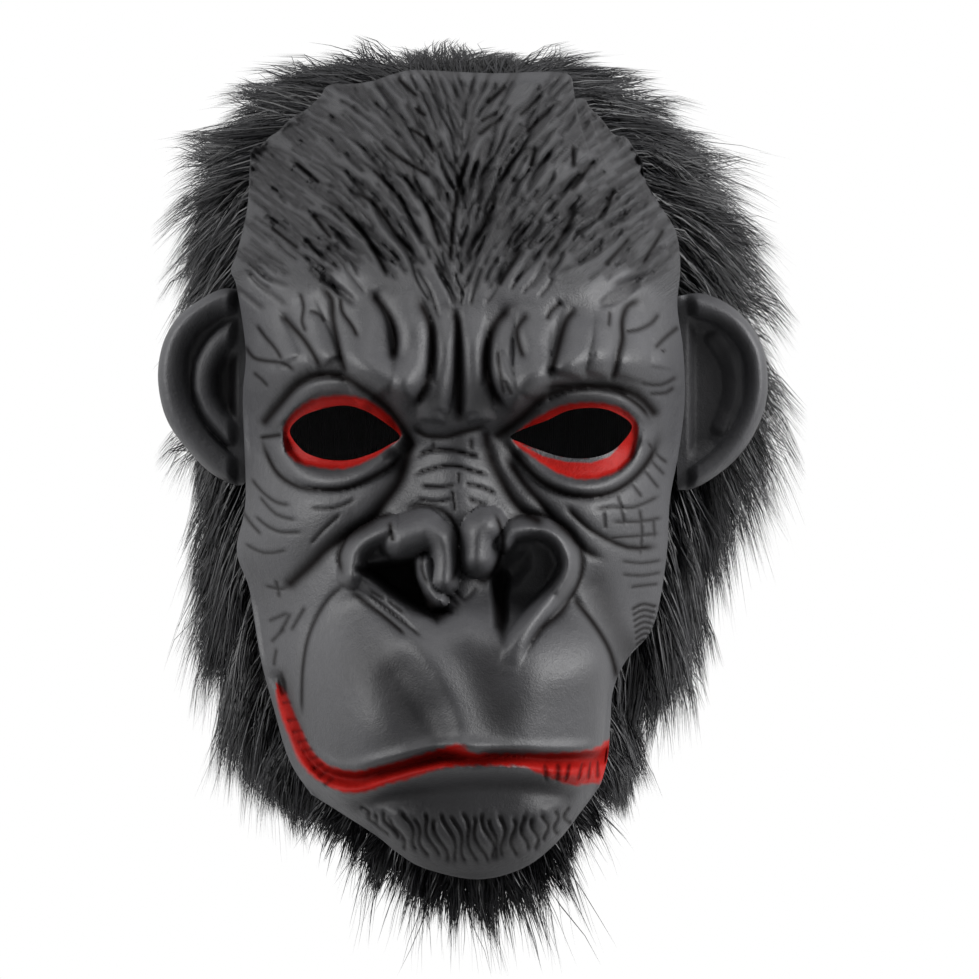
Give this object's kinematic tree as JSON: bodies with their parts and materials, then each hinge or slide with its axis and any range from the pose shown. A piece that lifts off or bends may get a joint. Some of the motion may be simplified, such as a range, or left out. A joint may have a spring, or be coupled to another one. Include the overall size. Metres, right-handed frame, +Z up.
{
  "type": "gorilla mask",
  "caption": "Full-head dress-up mask: moulded gorilla face with cut eye holes and painted lips, moulded ears and a black fur hood open at the neck.",
  "frame": {"origin": "inner top of the hood's crown, where it sits on the wearer's head", "axes": "+Z up; the face looks along -Y; +X to the wearer's left"},
  "size_m": [0.207, 0.261, 0.2988],
  "materials": {
    "face": "matt moulded latex, dark grey, with red paint on lips and eyelids",
    "ears": "matt moulded latex, dark grey",
    "cloth": "black knitted backing cloth",
    "fur": "long black synthetic fur"
  },
  "bodies": {
    "root": {"face_shell": "face", "ear_right": "ears", "ear_left": "ears", "hood_cloth": "cloth", "crown_fur": "fur", "side_fur_right": "fur", "side_fur_left": "fur", "nape_fur": "fur", "chin_fur": "fur"}
  },
  "joints": []
}
